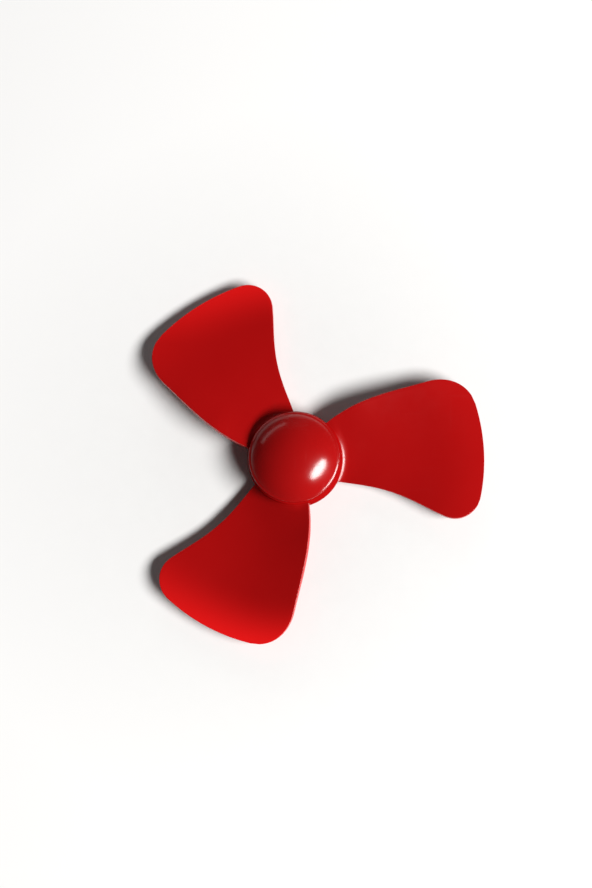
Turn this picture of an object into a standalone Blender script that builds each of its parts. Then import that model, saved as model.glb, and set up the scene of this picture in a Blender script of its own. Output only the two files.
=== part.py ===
"""Three-blade toy propeller that spins on its own axle.

Units are metres, +Z is up.  The propeller lies on its back: the flat rear face
of the mounting base is on z = 0, the axle stands along +Z through the origin,
and the domed spinner cap is on top.
"""
import math

import bmesh
import bpy
import numpy as np
from mathutils import Matrix, Vector

MM = 0.001

# ---------------------------------------------------------------- dimensions
TIP_R = 40.0 * MM            # blade tip circle
BLADE_COUNT = 3
BLADE_START = math.radians(3.7)      # azimuth of the first blade's centre line
BLADE_ROOT_R = 9.4 * MM      # blades start inside the hub wall
BLADE_T = 1.1 * MM           # moulded blade thickness
BLADE_EDGE = 0.35 * MM       # rounding of the blade rim

# counter-clockwise (leading) and clockwise (trailing) edges, in degrees from
# the blade's centre line, as cubics of u = 0 at the hub wall .. 1 at the tip
LEAD = (44.3, -29.9, -0.9, 11.3)
TRAIL = (-32.4, 54.9, -101.4, 54.7)
LEAD_CORNER_R, LEAD_CORNER = 32.4 * MM, 11.9    # where the corner starts, degrees it takes
TRAIL_CORNER_R, TRAIL_CORNER = 33.8 * MM, 7.7

# blade mid surface in millimetres: z = centre + slope * y + dish * y^2 + curl * y^3
CENTRE_ROOT, CENTRE_TIP = 2.9, 2.1
SLOPE_ROOT, SLOPE_TIP, SLOPE_POWER = 0.24, 0.02, 1.6    # twist dies away towards the tip
DISH_ROOT, DISH_TIP = 0.0085, 0.0035
CURL = 0.00028               # lifts the leading flank
DISH_START = 0.3             # u by which the dish is fully formed
EDGE_R0 = 9.65 * MM          # radius where u = 0

ROWS = 16                    # stations along a blade
COLS = 9                     # stations across a blade

HUB_R_REAR = 10.15 * MM      # hub wall, open rear edge
HUB_R_FRONT = 9.95 * MM      # hub wall, front edge under the cap
HUB_IN_R = 9.0 * MM
HUB_Z0, HUB_Z1 = 0.45 * MM, 5.0 * MM
WEB_Z0, WEB_Z1 = 3.2 * MM, 4.0 * MM
BOSS_R, BOSS_BORE = 3.6 * MM, 2.3 * MM
BOSS_Z0, BOSS_Z1 = 3.1 * MM, 6.6 * MM
RIBS = 6
RIB_T, RIB_Z0 = 0.9 * MM, 1.9 * MM
RIB_R0, RIB_R1 = 3.45 * MM, 9.4 * MM

CAP_LIP_R = 9.65 * MM
CAP_LIP_Z0, CAP_LIP_Z1 = 5.3 * MM, 6.0 * MM
CAP_TOP = 9.9 * MM
CAP_WALL = 1.0 * MM
SPIGOT_R, SPIGOT_IN = 8.65 * MM, 7.85 * MM
SPIGOT_Z0 = 4.3 * MM

BASE_R, BASE_T = 7.0 * MM, 1.3 * MM
BASE_BOSS_R, BASE_BOSS_Z = 3.1 * MM, 2.2 * MM
POCKET_R, POCKET_Z0, POCKET_Z1 = 2.0 * MM, 0.5 * MM, 1.6 * MM

AXLE_R = 1.0 * MM
AXLE_Z0, AXLE_Z1 = 0.8 * MM, 8.5 * MM
HEAD_R, HEAD_Z1 = 1.7 * MM, 1.3 * MM
GROOVE_R, GROOVE_Z0, GROOVE_Z1 = 0.6 * MM, 7.3 * MM, 8.0 * MM

BUSH_R, BORE_R = 2.0 * MM, 1.3 * MM
BUSH_Z0, BUSH_Z1 = 3.1 * MM, 6.6 * MM
WASHER_R = 2.8 * MM
REAR_WASHER_Z = (2.5 * MM, 2.8 * MM)
FRONT_WASHER_Z = (6.9 * MM, 7.2 * MM)
CLIP_R, CLIP_IN = 2.3 * MM, 0.85 * MM
CLIP_Z = (7.48 * MM, 7.82 * MM)


# ------------------------------------------------------------------- helpers
def clear_scene():
    for obj in list(bpy.data.objects):
        bpy.data.objects.remove(obj, do_unlink=True)


def collection(name):
    col = bpy.data.collections.get(name)
    if col is None:
        col = bpy.data.collections.new(name)
    if col.name not in bpy.context.scene.collection.children:
        bpy.context.scene.collection.children.link(col)
    return col


def material(name, color, roughness, metallic=0.0):
    mat = bpy.data.materials.new(name)
    mat.use_nodes = True
    bsdf = mat.node_tree.nodes["Principled BSDF"]
    bsdf.inputs["Base Color"].default_value = (*color, 1.0)
    bsdf.inputs["Roughness"].default_value = roughness
    bsdf.inputs["Metallic"].default_value = metallic
    mat.diffuse_color = (*color, 1.0)
    return mat


def add_object(name, mesh, col, mat=None, parent=None):
    obj = bpy.data.objects.new(name, mesh)
    col.objects.link(obj)
    if mat is not None:
        mesh.materials.append(mat)
    if parent is not None:
        obj.parent = parent
    return obj


def make_cutter(obj):
    obj.hide_render = True
    obj.display_type = 'WIRE'


def smooth(obj, angle=35.0):
    mesh = obj.data
    mesh.shade_smooth()
    mesh.set_sharp_from_angle(angle=math.radians(angle))


def arc(cx, cz, r, a0, a1, n):
    """Points of an arc in the profile plane, angles in degrees."""
    return [(cx + r * math.cos(math.radians(a0 + (a1 - a0) * i / n)),
             cz + r * math.sin(math.radians(a0 + (a1 - a0) * i / n))) for i in range(n + 1)]


def turned(name, profile, col, mat=None, parent=None, steps=64, closed=True, angle=35.0):
    """A turned body: profile points (r, z) run down the outer side at +X."""
    mesh = bpy.data.meshes.new(name)
    edges = [(i, i + 1) for i in range(len(profile) - 1)]
    if closed:
        edges.append((len(profile) - 1, 0))
    mesh.from_pydata([(r, 0.0, z) for r, z in profile], edges, [])
    mesh.update()
    obj = add_object(name, mesh, col, mat, parent)
    screw = obj.modifiers.new("Screw", 'SCREW')
    screw.axis = 'Z'
    screw.angle = 2.0 * math.pi
    screw.steps = steps
    screw.render_steps = steps
    screw.use_merge_vertices = True
    screw.merge_threshold = 0.000001
    screw.use_smooth_shade = True
    return obj


def boolean(obj, cutter, operation):
    mod = obj.modifiers.new(operation.title(), 'BOOLEAN')
    mod.operation = operation
    mod.object = cutter
    mod.solver = 'EXACT'
    return mod


# --------------------------------------------------------------------- blade
def cubic(c, u):
    return c[0] + u * (c[1] + u * (c[2] + u * c[3]))


def corner(rho, start, amount):
    """Elliptic rounding of an edge towards the tip circle."""
    t = min(max((rho - start) / (TIP_R - start), 0.0), 1.0)
    return amount * (1.0 - math.sqrt(max(0.0, 1.0 - t * t)))


def blade_edges(rho):
    u = (rho - EDGE_R0) / (TIP_R - EDGE_R0)
    lead = cubic(LEAD, u) - corner(rho, LEAD_CORNER_R, LEAD_CORNER)
    trail = cubic(TRAIL, u) + corner(rho, TRAIL_CORNER_R, TRAIL_CORNER)
    return math.radians(trail), math.radians(lead)


def blade_height(rho, y):
    u = min(max((rho - EDGE_R0) / (TIP_R - EDGE_R0), 0.0), 1.0)
    y = y / MM
    slope = SLOPE_TIP + (SLOPE_ROOT - SLOPE_TIP) * (1.0 - u) ** SLOPE_POWER
    t = min(u / DISH_START, 1.0)
    formed = t * t * (3.0 - 2.0 * t)
    dish = DISH_ROOT + (DISH_TIP - DISH_ROOT) * u
    z = CENTRE_ROOT + (CENTRE_TIP - CENTRE_ROOT) * u + slope * y
    z += formed * (dish * y * y + CURL * (1.0 - u) * y ** 3)
    return z * MM


def blade_mesh(name):
    """Mid surface of one blade, lofted between its two edges."""
    bm = bmesh.new()
    rows = []
    for i in range(ROWS + 1):
        s = math.sin(0.5 * math.pi * i / ROWS)
        rho = BLADE_ROOT_R + (TIP_R - BLADE_ROOT_R) * (0.35 * i / ROWS + 0.65 * s)
        trail, lead = blade_edges(rho)
        row = []
        for j in range(COLS + 1):
            a = trail + (lead - trail) * j / COLS
            y = rho * math.sin(a)
            row.append(bm.verts.new((rho * math.cos(a), y, blade_height(rho, y))))
        rows.append(row)
    for i in range(ROWS):
        for j in range(COLS):
            bm.faces.new((rows[i][j], rows[i + 1][j], rows[i + 1][j + 1], rows[i][j + 1]))
    bmesh.ops.recalc_face_normals(bm, faces=bm.faces)
    bm.faces.ensure_lookup_table()
    if sum(f.normal.z for f in bm.faces) < 0:
        bmesh.ops.reverse_faces(bm, faces=bm.faces)
    mesh = bpy.data.meshes.new(name)
    bm.to_mesh(mesh)
    bm.free()
    return mesh


# --------------------------------------------------------------------- build
def build():
    clear_scene()
    parts = collection("toy_propeller")
    cutters = collection("cutters")

    red = material("red_plastic", (0.42, 0.006, 0.006), 0.32)
    red_cap = material("red_cap_plastic", (0.40, 0.006, 0.006), 0.18)
    black = material("dark_base_plastic", (0.03, 0.03, 0.032), 0.45)
    brass = material("brass", (0.72, 0.47, 0.16), 0.3, 1.0)
    steel = material("steel", (0.60, 0.60, 0.62), 0.25, 1.0)
    zinc = material("zinc_washer", (0.50, 0.51, 0.53), 0.4, 1.0)
    spring = material("spring_steel", (0.16, 0.16, 0.17), 0.35, 1.0)

    # ---- root body: what stays still
    z0, z1 = BASE_T, BASE_BOSS_Z
    base_profile = (
        [(BASE_BOSS_R - 0.25 * MM, z1), (BASE_BOSS_R, z1 - 0.25 * MM), (BASE_BOSS_R, z0 + 0.3 * MM),
         (BASE_BOSS_R + 0.3 * MM, z0)]
        + arc(BASE_R - 0.4 * MM, z0 - 0.4 * MM, 0.4 * MM, 90, 0, 4)
        + [(BASE_R, 0.3 * MM), (BASE_R - 0.3 * MM, 0.0), (0.0, 0.0), (0.0, POCKET_Z0),
           (POCKET_R, POCKET_Z0), (POCKET_R, POCKET_Z1), (BORE_R, POCKET_Z1), (BORE_R, z1)])
    # the axis points are open ends of the profile, the outer side runs down
    outer = base_profile[:base_profile.index((0.0, 0.0)) + 1]
    inner = base_profile[base_profile.index((0.0, POCKET_Z0)):]
    turned("rear_base", inner + outer, parts, black, steps=48, closed=False)

    c = 0.25 * MM
    axle_profile = [
        (0.0, AXLE_Z1), (AXLE_R - c, AXLE_Z1), (AXLE_R, AXLE_Z1 - c), (AXLE_R, GROOVE_Z1),
        (GROOVE_R, GROOVE_Z1), (GROOVE_R, GROOVE_Z0), (AXLE_R, GROOVE_Z0), (AXLE_R, HEAD_Z1),
        (HEAD_R - 0.1 * MM, HEAD_Z1), (HEAD_R, HEAD_Z1 - 0.1 * MM), (HEAD_R, AXLE_Z0 + 0.1 * MM),
        (HEAD_R - 0.1 * MM, AXLE_Z0), (0.0, AXLE_Z0)]
    turned("axle_pin", axle_profile, parts, steel, steps=28, closed=False)

    def washer(name, z, r_out, mat):
        e = 0.06 * MM
        prof = [(BORE_R, z[1]), (r_out - e, z[1]), (r_out, z[1] - e), (r_out, z[0] + e),
                (r_out - e, z[0]), (BORE_R, z[0])]
        return turned(name, prof, parts, mat, steps=32)

    washer("thrust_washer_rear", REAR_WASHER_Z, WASHER_R, zinc)
    washer("thrust_washer_front", FRONT_WASHER_Z, WASHER_R, zinc)

    # open retaining clip in the axle's groove
    clip = turned("retaining_clip", [
        (CLIP_IN, CLIP_Z[1]), (CLIP_R - 0.05 * MM, CLIP_Z[1]), (CLIP_R, CLIP_Z[1] - 0.05 * MM),
        (CLIP_R, CLIP_Z[0] + 0.05 * MM), (CLIP_R - 0.05 * MM, CLIP_Z[0]), (CLIP_IN, CLIP_Z[0])],
        parts, spring, steps=36)
    bm = bmesh.new()
    bmesh.ops.create_cube(bm, size=1.0)
    bmesh.ops.scale(bm, vec=Vector((3.0 * MM, 1.25 * MM, 1.4 * MM)), verts=bm.verts)
    bmesh.ops.translate(bm, vec=Vector((1.5 * MM, 0.0, 0.5 * (CLIP_Z[0] + CLIP_Z[1]))), verts=bm.verts)
    slot_mesh = bpy.data.meshes.new("clip_slot")
    bm.to_mesh(slot_mesh)
    bm.free()
    slot = add_object("clip_slot", slot_mesh, cutters)
    make_cutter(slot)
    boolean(clip, slot, 'DIFFERENCE')
    bm = bmesh.new()
    for k in (1, 2):
        # two reliefs leave the three teeth that grip the groove
        geo = bmesh.ops.create_cone(bm, cap_ends=True, segments=16, radius1=0.42 * MM,
                                    radius2=0.42 * MM, depth=1.4 * MM)
        a = math.radians(120.0 * k)
        bmesh.ops.translate(bm, vec=Vector((1.12 * MM * math.cos(a), 1.12 * MM * math.sin(a),
                                            0.5 * (CLIP_Z[0] + CLIP_Z[1]))), verts=geo["verts"])
    relief_mesh = bpy.data.meshes.new("clip_relief")
    bm.to_mesh(relief_mesh)
    bm.free()
    relief = add_object("clip_relief", relief_mesh, cutters)
    make_cutter(relief)
    boolean(clip, relief, 'DIFFERENCE')

    # ---- rotor body: an empty on the spin axis carries everything that turns
    spin = bpy.data.objects.new("rotor_axis", None)
    spin.location = (0.0, 0.0, 0.0)
    parts.objects.link(spin)

    e = 0.15 * MM
    bush_profile = [
        (BORE_R, BUSH_Z1 - e), (BORE_R + e, BUSH_Z1), (BUSH_R - e, BUSH_Z1), (BUSH_R, BUSH_Z1 - e),
        (BUSH_R, BUSH_Z0 + e), (BUSH_R - e, BUSH_Z0), (BORE_R + e, BUSH_Z0), (BORE_R, BUSH_Z0 + e)]
    turned("bearing_bush", bush_profile, parts, brass, spin, steps=32)

    # hub moulding: wall open to the rear, web, central boss
    f = 0.3 * MM
    hub_profile = (
        [(BOSS_BORE, BOSS_Z1), (BOSS_R - f, BOSS_Z1), (BOSS_R, BOSS_Z1 - f),
         (BOSS_R, WEB_Z1 + 0.4 * MM), (BOSS_R + 0.4 * MM, WEB_Z1),
         (HUB_IN_R, WEB_Z1), (HUB_IN_R, HUB_Z1 - 0.1 * MM), (HUB_IN_R + 0.1 * MM, HUB_Z1)]
        + arc(HUB_R_FRONT - f, HUB_Z1 - f, f, 90, 0, 3)
        + [(HUB_R_REAR, HUB_Z0 + 0.2 * MM), (HUB_R_REAR - 0.2 * MM, HUB_Z0),
           (HUB_IN_R + 0.1 * MM, HUB_Z0), (HUB_IN_R, HUB_Z0 + 0.1 * MM),
           (HUB_IN_R, WEB_Z0), (BOSS_R, WEB_Z0), (BOSS_R - 0.1 * MM, BOSS_Z0), (BOSS_BORE, BOSS_Z0)])
    rotor = turned("rotor_blades_hub", hub_profile, parts, red, spin, steps=60)

    bm = bmesh.new()
    for k in range(RIBS):
        geo = bmesh.ops.create_cube(bm, size=1.0)
        length = RIB_R1 - RIB_R0
        height = WEB_Z0 + 0.4 * MM - RIB_Z0
        bmesh.ops.scale(bm, vec=Vector((length, RIB_T, height)), verts=geo["verts"])
        bmesh.ops.translate(bm, vec=Vector((RIB_R0 + 0.5 * length, 0.0, RIB_Z0 + 0.5 * height)),
                            verts=geo["verts"])
        a = BLADE_START + 2.0 * math.pi * k / RIBS
        bmesh.ops.rotate(bm, cent=Vector((0, 0, 0)), matrix=Matrix.Rotation(a, 3, 'Z'),
                         verts=geo["verts"])
    rib_mesh = bpy.data.meshes.new("hub_ribs")
    bm.to_mesh(rib_mesh)
    bm.free()
    ribs = add_object("hub_ribs", rib_mesh, cutters)
    make_cutter(ribs)
    boolean(rotor, ribs, 'UNION')

    blade = blade_mesh("blade_surface")
    for k in range(BLADE_COUNT):
        obj = add_object("blade_%d" % (k + 1), blade, cutters)
        obj.rotation_euler = (0.0, 0.0, BLADE_START + 2.0 * math.pi * k / BLADE_COUNT)
        shell = obj.modifiers.new("Solidify", 'SOLIDIFY')
        shell.thickness = BLADE_T
        shell.offset = 0.0
        shell.use_even_offset = True
        rim = obj.modifiers.new("Bevel", 'BEVEL')
        rim.width = BLADE_EDGE
        rim.segments = 2
        rim.limit_method = 'ANGLE'
        rim.angle_limit = math.radians(50.0)
        make_cutter(obj)
        boolean(rotor, obj, 'UNION')

    # domed spinner cap: lip, dome of one radius, spigot that snaps into the hub
    rise = CAP_TOP - CAP_LIP_Z1
    dome_r = CAP_LIP_R - 0.35 * MM
    sphere = (dome_r * dome_r + rise * rise) / (2.0 * rise)
    cz = CAP_TOP - sphere
    edge_deg = math.degrees(math.asin((CAP_LIP_Z1 - cz) / sphere))
    outer = [p for p in arc(0.0, cz, sphere, 90, edge_deg, 10)]
    outer[0] = (0.0, CAP_TOP)
    lip = arc(CAP_LIP_R - 0.35 * MM, CAP_LIP_Z1 - 0.35 * MM, 0.35 * MM, 65, -5, 4)
    lip += [(CAP_LIP_R, CAP_LIP_Z0 + 0.2 * MM), (CAP_LIP_R - 0.2 * MM, CAP_LIP_Z0)]
    spigot = [(SPIGOT_R, CAP_LIP_Z0), (SPIGOT_R, SPIGOT_Z0 + 0.2 * MM),
              (SPIGOT_R - 0.2 * MM, SPIGOT_Z0), (SPIGOT_IN, SPIGOT_Z0)]
    in_sphere = sphere - CAP_WALL
    in_edge = math.degrees(math.acos(SPIGOT_IN / in_sphere))
    inner = arc(0.0, cz, in_sphere, in_edge, 90, 5)
    inner[-1] = (0.0, cz + in_sphere)
    turned("spinner_cap", outer[:-1] + lip + spigot + inner, parts, red_cap, spin,
           steps=56, closed=False)

    for obj in parts.objects:
        if obj.type == 'MESH':
            smooth(obj)
    bpy.context.view_layer.update()


build()
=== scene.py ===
"""Looks of the three-blade toy propeller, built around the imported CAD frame."""
import math

import bmesh
import bpy
from mathutils import Matrix, Vector


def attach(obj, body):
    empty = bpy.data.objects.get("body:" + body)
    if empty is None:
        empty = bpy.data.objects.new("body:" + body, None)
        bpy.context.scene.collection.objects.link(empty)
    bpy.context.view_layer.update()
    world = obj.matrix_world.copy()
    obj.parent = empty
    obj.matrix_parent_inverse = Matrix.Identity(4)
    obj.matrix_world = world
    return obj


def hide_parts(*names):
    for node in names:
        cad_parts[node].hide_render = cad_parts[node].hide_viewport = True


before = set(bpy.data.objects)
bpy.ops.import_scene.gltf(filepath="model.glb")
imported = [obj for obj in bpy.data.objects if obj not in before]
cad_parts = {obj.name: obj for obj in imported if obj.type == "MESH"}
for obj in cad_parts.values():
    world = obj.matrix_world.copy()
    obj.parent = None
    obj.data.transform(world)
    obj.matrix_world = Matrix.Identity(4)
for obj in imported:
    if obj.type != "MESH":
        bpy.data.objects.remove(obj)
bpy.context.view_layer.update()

MM = 0.001
SPIN_DEG = 3.7               # azimuth of the first blade's centre line

# ------------------------------------------------------------- node helpers


class Nodes:
    """Small wrapper that builds a Principled material."""

    def __init__(self, name):
        self.mat = bpy.data.materials.new(name)
        self.mat.use_nodes = True
        self.tree = self.mat.node_tree
        self.bsdf = self.tree.nodes["Principled BSDF"]
        self.coord = self.tree.nodes.new("ShaderNodeTexCoord").outputs["Object"]

    def add(self, kind, **props):
        node = self.tree.nodes.new(kind)
        for key, value in props.items():
            setattr(node, key, value)
        return node

    def link(self, a, b):
        self.tree.links.new(a, b)

    def noise(self, scale, detail=3.0, rough=0.5, stretch=None):
        node = self.add("ShaderNodeTexNoise")
        node.inputs["Scale"].default_value = scale
        node.inputs["Detail"].default_value = detail
        node.inputs["Roughness"].default_value = rough
        src = self.coord
        if stretch is not None:
            mapping = self.add("ShaderNodeMapping")
            mapping.inputs["Scale"].default_value = stretch
            self.link(self.coord, mapping.inputs["Vector"])
            src = mapping.outputs["Vector"]
        self.link(src, node.inputs["Vector"])
        return node.outputs["Fac"]

    def ramp(self, fac, stops):
        node = self.add("ShaderNodeValToRGB")
        ramp = node.color_ramp
        while len(ramp.elements) < len(stops):
            ramp.elements.new(0.5)
        for element, (pos, col) in zip(ramp.elements, stops):
            element.position = pos
            element.color = (*col, 1.0) if len(col) == 3 else col
        self.link(fac, node.inputs["Fac"])
        return node.outputs["Color"]

    def remap(self, fac, lo, hi, out_lo, out_hi):
        node = self.add("ShaderNodeMapRange")
        node.inputs["From Min"].default_value = lo
        node.inputs["From Max"].default_value = hi
        node.inputs["To Min"].default_value = out_lo
        node.inputs["To Max"].default_value = out_hi
        self.link(fac, node.inputs["Value"])
        return node.outputs["Result"]

    def math(self, op, a, b):
        node = self.add("ShaderNodeMath", operation=op)
        for i, v in enumerate((a, b)):
            if isinstance(v, (int, float)):
                node.inputs[i].default_value = v
            else:
                self.link(v, node.inputs[i])
        return node.outputs[0]

    def bump(self, layers):
        prev = None
        for height, strength, distance in layers:
            node = self.add("ShaderNodeBump")
            node.inputs["Strength"].default_value = strength
            node.inputs["Distance"].default_value = distance
            self.link(height, node.inputs["Height"])
            if prev is not None:
                self.link(prev, node.inputs["Normal"])
            prev = node.outputs["Normal"]
        self.link(prev, self.bsdf.inputs["Normal"])


def moulded_plastic(name, low, mid, high, rough_lo, rough_hi, grain=0.10, coat=0.0, ior=1.46, spec=0.5,
                    painted_tip_light=None, matt=None):
    """Self-coloured injection-moulded plastic: faint flow marks in the colour,
    uneven polish, a very fine mould grain and a few hair-fine handling marks.
    The blade-tip option adds painted light: a lighter red painted on the tips and the rim."""
    n = Nodes(name)
    flow = n.noise(70.0, 4.0, 0.55, (1.0, 1.0, 0.4))
    cloud = n.noise(18.0, 2.0, 0.5)
    mix = n.math('MULTIPLY', n.math('ADD', flow, cloud), 0.5)
    color = n.ramp(mix, [(0.32, low), (0.5, mid), (0.70, high)])
    if painted_tip_light is not None:
        # painted highlight: the red is painted lighter towards the blade tips
        start, end, painted_tip_colour = painted_tip_light
        flat = n.add("ShaderNodeVectorMath", operation='MULTIPLY')
        flat.inputs[1].default_value = (1.0, 1.0, 0.0)
        n.link(n.coord, flat.inputs[0])
        length = n.add("ShaderNodeVectorMath", operation='LENGTH')
        n.link(flat.outputs["Vector"], length.inputs[0])
        reach = n.add("ShaderNodeMapRange", interpolation_type='SMOOTHSTEP')
        reach.inputs["From Min"].default_value = start
        reach.inputs["From Max"].default_value = end
        n.link(length.outputs["Value"], reach.inputs["Value"])
        # painted light: the painted tip highlight is weaker near the X axis, so the tip of the blade along X
        # stays deeper red
        sides = n.add("ShaderNodeSeparateXYZ")
        n.link(n.coord, sides.inputs[0])
        painted_light_share = n.remap(n.math('ABSOLUTE', n.math('SUBTRACT', sides.outputs["Y"], 0.002), 0.0),
                        0.0235, 0.040, 0.16, 1.0)
        painted_tip_blend = n.add("ShaderNodeMix", data_type='RGBA')
        n.link(n.math('MULTIPLY', reach.outputs["Result"], painted_light_share), painted_tip_blend.inputs["Factor"])
        n.link(color, painted_tip_blend.inputs["A"])
        painted_tip_blend.inputs["B"].default_value = (*painted_tip_colour, 1.0)
        # painted highlight: the steep faces of the rounded blade rim are painted a lighter red
        normal = n.add("ShaderNodeSeparateXYZ")
        n.link(n.add("ShaderNodeTexCoord").outputs["Normal"], normal.inputs[0])
        rim = n.remap(n.math('ABSOLUTE', normal.outputs["Z"], 0.0), 0.45, 0.90, 1.0, 0.0)
        outer = n.remap(length.outputs["Value"], 0.0106, 0.0112, 0.0, 1.0)
        painted_rim_highlight = n.add("ShaderNodeMix", data_type='RGBA')
        n.link(n.math('MULTIPLY', rim, outer), painted_rim_highlight.inputs["Factor"])
        n.link(painted_tip_blend.outputs["Result"], painted_rim_highlight.inputs["A"])
        painted_rim_highlight.inputs["B"].default_value = (0.52, 0.026, 0.024, 1.0)
        color = painted_rim_highlight.outputs["Result"]
    n.link(color, n.bsdf.inputs["Base Color"])
    polish = n.noise(240.0, 5.0, 0.6)
    marks = n.noise(900.0, 2.0, 0.4, (1.0, 0.06, 1.0))
    marks2 = n.noise(800.0, 2.0, 0.4, (0.07, 1.0, 1.0))
    scratch = n.math('MAXIMUM', n.remap(marks, 0.66, 0.74, 0.0, 1.0), n.remap(marks2, 0.67, 0.75, 0.0, 1.0))
    rough = n.math('ADD', n.remap(polish, 0.25, 0.75, rough_lo, rough_hi), n.math('MULTIPLY', scratch, 0.05))
    if matt is not None:
        # the drafted hub wall keeps the matt skin of the mould
        radius, depth, extra, dull = matt
        split = n.add("ShaderNodeSeparateXYZ")
        n.link(n.coord, split.inputs[0])
        ring = n.add("ShaderNodeVectorMath", operation='MULTIPLY')
        ring.inputs[1].default_value = (1.0, 1.0, 0.0)
        n.link(n.coord, ring.inputs[0])
        around = n.add("ShaderNodeVectorMath", operation='LENGTH')
        n.link(ring.outputs["Vector"], around.inputs[0])
        wall = n.remap(around.outputs["Value"], radius, radius + depth, 1.0, 0.0)
        rough = n.math('ADD', rough, n.math('MULTIPLY', wall, extra))
        n.link(n.remap(wall, 0.0, 1.0, spec, dull), n.bsdf.inputs["Specular IOR Level"])
    n.link(rough, n.bsdf.inputs["Roughness"])
    fine = n.noise(3200.0, 2.0, 0.5)
    wave = n.noise(55.0, 2.0, 0.5)
    n.bump([(wave, 0.10, 0.00005), (fine, grain, 0.000012), (scratch, 0.05, 0.000004)])
    n.bsdf.inputs["IOR"].default_value = ior
    n.bsdf.inputs["Coat Weight"].default_value = coat
    n.bsdf.inputs["Coat Roughness"].default_value = 0.10
    if matt is None:
        n.bsdf.inputs["Specular IOR Level"].default_value = spec
    return n.mat


def metal(name, low, high, rough_lo, rough_hi, stretch=(1.0, 1.0, 30.0), scale=260.0):
    """Turned or rolled metal with fine tool lines and a little tarnish."""
    n = Nodes(name)
    tarnish = n.noise(320.0, 4.0, 0.6)
    n.link(n.ramp(tarnish, [(0.3, low), (0.62, high)]), n.bsdf.inputs["Base Color"])
    lines = n.noise(scale, 3.0, 0.6, stretch)
    n.link(n.remap(lines, 0.3, 0.7, rough_lo, rough_hi), n.bsdf.inputs["Roughness"])
    n.bump([(lines, 0.25, 0.00001), (tarnish, 0.10, 0.000008)])
    n.bsdf.inputs["Metallic"].default_value = 1.0
    return n.mat


RED = moulded_plastic("red_moulded_plastic", (0.318, 0.0028, 0.0030), (0.334, 0.0032, 0.0034),
                      (0.350, 0.0037, 0.0038), 0.17, 0.23, grain=0.07, spec=0.38,
                      painted_tip_light=(0.029, 0.0405, (0.740, 0.0082, 0.0082)), matt=(0.01012, 0.00016, 0.30, 0.0))
RED_CAP = moulded_plastic("red_cap_polished_plastic", (0.312, 0.0034, 0.0036), (0.327, 0.0040, 0.0042),
                          (0.342, 0.0046, 0.0046), 0.145, 0.195, grain=0.06)
BASE = moulded_plastic("dark_grey_moulded_plastic", (0.016, 0.016, 0.017), (0.022, 0.022, 0.023),
                       (0.030, 0.030, 0.031), 0.42, 0.52, grain=0.25)
STEEL = metal("drawn_steel", (0.50, 0.50, 0.51), (0.66, 0.66, 0.67), 0.16, 0.30)
BRASS = metal("turned_brass", (0.60, 0.37, 0.11), (0.78, 0.53, 0.20), 0.20, 0.34)
ZINC = metal("zinc_plate", (0.46, 0.47, 0.49), (0.60, 0.61, 0.63), 0.30, 0.42, (1.0, 1.0, 1.0), 500.0)
SPRING = metal("dark_spring_steel", (0.09, 0.09, 0.10), (0.18, 0.18, 0.20), 0.26, 0.40, (1.0, 1.0, 1.0), 400.0)

for node, mat in (("rear_base", BASE), ("axle_pin", STEEL), ("bearing_bush", BRASS),
                  ("thrust_washer_rear", ZINC), ("thrust_washer_front", ZINC), ("retaining_clip", SPRING)):
    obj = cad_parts[node]
    obj.data.materials.clear()
    obj.data.materials.append(mat)


# --------------------------------------------------------- turned fine bodies
def arc(cx, cz, r, a0, a1, n):
    return [(cx + r * math.cos(math.radians(a0 + (a1 - a0) * i / n)),
             cz + r * math.sin(math.radians(a0 + (a1 - a0) * i / n))) for i in range(n + 1)]


def link(obj):
    bpy.context.scene.collection.objects.link(obj)
    return obj


def turned_mesh(name, profile, steps, closed):
    """Surface of revolution of (r, z) points in millimetres."""
    mesh = bpy.data.meshes.new(name)
    edges = [(i, i + 1) for i in range(len(profile) - 1)]
    if closed:
        edges.append((len(profile) - 1, 0))
    mesh.from_pydata([(r * MM, 0.0, z * MM) for r, z in profile], edges, [])
    obj = link(bpy.data.objects.new(name, mesh))
    screw = obj.modifiers.new("Screw", 'SCREW')
    screw.axis = 'Z'
    screw.angle = 2.0 * math.pi
    screw.steps = steps
    screw.render_steps = steps
    screw.use_merge_vertices = True
    screw.merge_threshold = 0.000001
    return obj


def bake_modifiers(obj):
    """Replace the object's mesh by its evaluated mesh."""
    bpy.context.view_layer.update()
    deps = bpy.context.evaluated_depsgraph_get()
    mesh = bpy.data.meshes.new_from_object(obj.evaluated_get(deps))
    old = obj.data
    obj.modifiers.clear()
    obj.data = mesh
    if old.users == 0:
        bpy.data.meshes.remove(old)
    return obj


def finish_piece(obj, mat, body, node, angle=40.0):
    obj.data.materials.clear()
    obj.data.materials.append(mat)
    obj.data.shade_smooth()
    obj.data.set_sharp_from_angle(angle=math.radians(angle))
    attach(obj, body)
    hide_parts(node)


# spinner cap: lip, seam bead, dome of one radius, spigot inside the hub
LIP_R, LIP_Z0, LIP_Z1, TOP, WALL = 9.65, 5.3, 6.0, 9.9, 1.0
dome_r = LIP_R - 0.35
rise = TOP - LIP_Z1
sphere = (dome_r * dome_r + rise * rise) / (2.0 * rise)
cz = TOP - sphere
edge_deg = math.degrees(math.asin((LIP_Z1 - cz) / sphere))
outer = arc(0.0, cz, sphere, 90, edge_deg + 1.0, 60)
outer[0] = (0.0, TOP)
lip = arc(LIP_R - 0.38, LIP_Z1 - 0.34, 0.38, 62, -4, 12)
lip += [(LIP_R, LIP_Z0 + 0.16), (LIP_R - 0.05, LIP_Z0 + 0.05), (LIP_R - 0.16, LIP_Z0)]
spigot = [(8.65, LIP_Z0), (8.65, 4.5), (8.6, 4.38), (8.45, 4.3), (7.95, 4.3), (7.85, 4.4)]
in_sphere = sphere - WALL
in_edge = math.degrees(math.acos(7.85 / in_sphere))
inner = arc(0.0, cz, in_sphere, in_edge, 90, 24)
inner[-1] = (0.0, cz + in_sphere)
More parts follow.
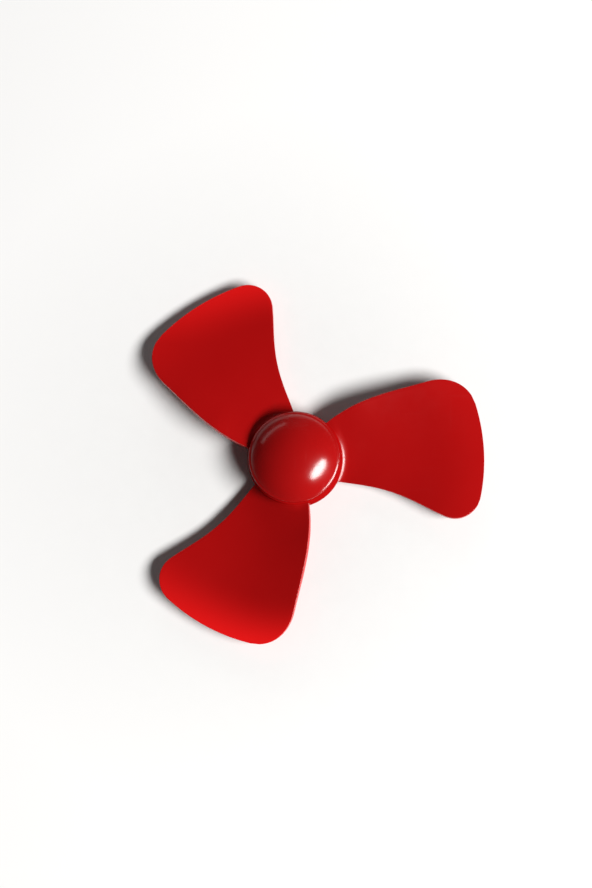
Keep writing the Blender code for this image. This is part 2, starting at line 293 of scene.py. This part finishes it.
cap = bake_modifiers(turned_mesh("spinner_cap_dome", outer + lip + spigot + inner, 160, False))
finish_piece(cap, RED_CAP, "rotor", "spinner_cap")

# ------------------------------------------------------------------- blades
TIP_R = 40.0
EDGE_R0 = 9.65
LEAD = (44.3, -29.9, -0.9, 11.3)
TRAIL = (-32.4, 54.9, -101.4, 54.7)
LEAD_CORNER_R, LEAD_CORNER = 32.4, 11.9
TRAIL_CORNER_R, TRAIL_CORNER = 33.8, 7.7
BLADE_T = 1.1


def cubic(c, u):
    return c[0] + u * (c[1] + u * (c[2] + u * c[3]))


def corner(rho, start, amount):
    t = min(max((rho - start) / (TIP_R - start), 0.0), 1.0)
    return amount * (1.0 - math.sqrt(max(0.0, 1.0 - t * t)))


def blade_edges(rho):
    u = (rho - EDGE_R0) / (TIP_R - EDGE_R0)
    return (math.radians(cubic(TRAIL, u) + corner(rho, TRAIL_CORNER_R, TRAIL_CORNER)),
            math.radians(cubic(LEAD, u) - corner(rho, LEAD_CORNER_R, LEAD_CORNER)))


def blade_height(rho, y):
    u = min(max((rho - EDGE_R0) / (TIP_R - EDGE_R0), 0.0), 1.0)
    slope = 0.02 + 0.22 * (1.0 - u) ** 1.6
    t = min(u / 0.3, 1.0)
    formed = t * t * (3.0 - 2.0 * t)
    return (2.9 - 0.8 * u + slope * y
            + formed * ((0.0085 - 0.005 * u) * y * y + 0.00028 * (1.0 - u) * y ** 3))


def blade_object(name, rows, cols):
    bm = bmesh.new()
    grid = []
    for i in range(rows + 1):
        s = math.sin(0.5 * math.pi * i / rows)
        rho = 9.4 + (TIP_R - 9.4) * (0.35 * i / rows + 0.65 * s)
        trail, lead = blade_edges(rho)
        row = []
        for j in range(cols + 1):
            a = trail + (lead - trail) * j / cols
            y = rho * math.sin(a)
            row.append(bm.verts.new((rho * math.cos(a) * MM, y * MM, blade_height(rho, y) * MM)))
        grid.append(row)
    for i in range(rows):
        for j in range(cols):
            bm.faces.new((grid[i][j], grid[i + 1][j], grid[i + 1][j + 1], grid[i][j + 1]))
    bmesh.ops.recalc_face_normals(bm, faces=bm.faces)
    if sum(f.normal.z for f in bm.faces) < 0:
        bmesh.ops.reverse_faces(bm, faces=bm.faces)
    mesh = bpy.data.meshes.new(name)
    bm.to_mesh(mesh)
    bm.free()
    obj = link(bpy.data.objects.new(name, mesh))
    solid = obj.modifiers.new("Solidify", 'SOLIDIFY')
    solid.thickness = BLADE_T * MM
    solid.offset = 0.0
    solid.use_even_offset = True
    rim = obj.modifiers.new("Bevel", 'BEVEL')
    rim.width = 0.42 * MM
    rim.segments = 5
    rim.limit_method = 'ANGLE'
    rim.angle_limit = math.radians(50.0)
    bake_modifiers(obj)
    # a moulded fillet where the blade meets the hub wall
    fillet, wall = 0.75, 10.03
    for v in obj.data.vertices:
        x, y, z = v.co / MM
        rho = math.hypot(x, y)
        d = max(rho - wall, 0.0)
        if d < fillet:
            mid = blade_height(rho, y)
            lift = fillet - math.sqrt(max(0.0, fillet * fillet - (fillet - d) ** 2))
            side = max(-1.0, min(1.0, (z - mid) / (0.5 * BLADE_T)))
            z += lift * side
            z = min(max(z, 0.62), 4.92)
            v.co.z = z * MM
    return obj


# hub wall, web, boss and ribs
hub_profile = (
    [(2.3, 6.6), (3.35, 6.6), (3.5, 6.55), (3.58, 6.45), (3.6, 6.3), (3.6, 4.4), (3.7, 4.12), (4.0, 4.0),
     (8.9, 4.0), (9.0, 4.1), (9.0, 4.9), (9.1, 5.0)]
    + arc(9.95 - 0.3, 5.0 - 0.3, 0.3, 90, 0, 8)
    + [(10.15, 0.7), (10.13, 0.58), (10.05, 0.49), (9.93, 0.45), (9.12, 0.45), (9.03, 0.49), (9.0, 0.6),
       (9.0, 3.1), (8.9, 3.2), (3.7, 3.2), (3.5, 3.1), (2.3, 3.1)])
rotor = turned_mesh("rotor_moulding", hub_profile, 160, True)

bm = bmesh.new()
for k in range(6):
    geo = bmesh.ops.create_cube(bm, size=1.0)
    bmesh.ops.scale(bm, vec=Vector((5.95 * MM, 0.9 * MM, 1.7 * MM)), verts=geo["verts"])
    bmesh.ops.translate(bm, vec=Vector((6.425 * MM, 0.0, 2.75 * MM)), verts=geo["verts"])
    bmesh.ops.rotate(bm, cent=Vector((0, 0, 0)),
                     matrix=Matrix.Rotation(math.radians(SPIN_DEG + 60.0 * k), 3, 'Z'), verts=geo["verts"])
rib_mesh = bpy.data.meshes.new("hub_ribs_tmp")
bm.to_mesh(rib_mesh)
bm.free()
tools = [link(bpy.data.objects.new("hub_ribs_tmp", rib_mesh))]
first = blade_object("blade_tmp_1", 56, 30)
tools.append(first)
for k in (1, 2):
    tools.append(link(bpy.data.objects.new("blade_tmp_%d" % (k + 1), first.data)))
for k, obj in enumerate(tools[1:]):
    obj.rotation_euler = (0.0, 0.0, math.radians(SPIN_DEG + 120.0 * k))
for obj in tools:
    mod = rotor.modifiers.new("Union", 'BOOLEAN')
    mod.operation = 'UNION'
    mod.object = obj
    mod.solver = 'EXACT'
bake_modifiers(rotor)
for obj in tools:
    bpy.data.objects.remove(obj, do_unlink=True)
finish_piece(rotor, RED, "rotor", "rotor_blades_hub", 38.0)

# --------------------------------------------------------------------- stage
floor_mesh = bpy.data.meshes.new("floor")
bm = bmesh.new()
bmesh.ops.create_grid(bm, x_segments=8, y_segments=8, size=1.6)
bm.to_mesh(floor_mesh)
bm.free()
floor = link(bpy.data.objects.new("floor", floor_mesh))
n = Nodes("pale_floor")
paper = n.noise(260.0, 4.0, 0.6)
spread = n.add("ShaderNodeVectorMath", operation='LENGTH')
n.link(n.coord, spread.inputs[0])
# painted shade: the floor is painted darker near the object and lighter farther out
painted_shade_falloff = n.remap(spread.outputs["Value"], 0.026, 0.080, 0.0, 1.0)
floor_with_painted_shade = n.add("ShaderNodeMix", data_type='RGBA')
n.link(painted_shade_falloff, floor_with_painted_shade.inputs["Factor"])
n.link(n.ramp(paper, [(0.3, (0.792, 0.793, 0.792)), (0.7, (0.806, 0.807, 0.806))]), floor_with_painted_shade.inputs["A"])
floor_with_painted_shade.inputs["B"].default_value = (0.90, 0.90, 0.90, 1.0)
n.link(floor_with_painted_shade.outputs["Result"], n.bsdf.inputs["Base Color"])
n.bsdf.inputs["Roughness"].default_value = 0.75
n.bsdf.inputs["Specular IOR Level"].default_value = 0.2
n.bump([(paper, 0.08, 0.00003)])
floor.data.materials.append(n.mat)

world = bpy.data.worlds.new("soft_studio")
world.use_nodes = True
bg = world.node_tree.nodes["Background"]
bg.inputs["Color"].default_value = (1.0, 0.985, 0.97, 1.0)
bg.inputs["Strength"].default_value = 0.025
bpy.context.scene.world = world
bpy.context.scene.view_settings.view_transform = 'Standard'


def area_light(name, azimuth, elevation, distance, width, height, power, target, roll=0.0, color=(1, 1, 1),
               shape='RECTANGLE'):
    data = bpy.data.lights.new(name, 'AREA')
    data.shape = shape
    data.size = width
    data.size_y = height
    data.energy = power
    data.color = color
    obj = link(bpy.data.objects.new(name, data))
    a, e = math.radians(azimuth), math.radians(elevation)
    direction = Vector((math.cos(e) * math.cos(a), math.cos(e) * math.sin(a), math.sin(e)))
    target = Vector(target)
    obj.location = target + direction * distance
    obj.rotation_euler = ((-direction).to_track_quat('-Z', 'Y').to_matrix()
                          @ Matrix.Rotation(math.radians(roll), 3, 'Z')).to_euler()
    return obj


KEY_AZ, KEY_EL, KEY_LONG, KEY_SHORT, KEY_POWER = -23.0, 39.5, 1.12, 0.47, 41.5
KEY_ROLL = -14.0
area_light("key_softbox", KEY_AZ, KEY_EL, 1.50, KEY_LONG, KEY_SHORT, KEY_POWER, (0, 0, 0.003), roll=KEY_ROLL,
           color=(1.0, 0.99, 0.975), shape='ELLIPSE')
area_light("low_fill", 128.0, 16.0, 0.50, 0.40, 0.04, 0.08, (0, 0, 0.003))
far = area_light("far_fill", 90.0, 14.0, 0.60, 0.36, 0.26, 0.55, (0, 0, 0.003))
far.visible_glossy = False
soft = area_light("left_fill", 178.0, 30.0, 0.22, 0.12, 0.10, 0.006, (0, 0, 0.003))
soft.visible_glossy = False

# -------------------------------------------------------------------- camera
TILT, TOWARD, DIST = math.radians(9.39), math.radians(-63.0), 0.2878
eye = Vector((math.sin(TILT) * math.cos(TOWARD), math.sin(TILT) * math.sin(TOWARD), math.cos(TILT)))
up = Vector((0.0, 1.0, 0.0))
right = up.cross(eye).normalized()
true_up = eye.cross(right)
cam_data = bpy.data.cameras.new("camera")
cam_data.sensor_fit = 'AUTO'
cam_data.sensor_width = 36.0
cam_data.lens = 54.27
cam_data.shift_y = 0.0190
cam_data.clip_start = 0.005
cam_data.clip_end = 20.0
cam = link(bpy.data.objects.new("camera", cam_data))
rot = Matrix((right, true_up, eye)).transposed()
cam.matrix_world = Matrix.Translation(eye * DIST) @ rot.to_4x4()
bpy.context.scene.camera = cam
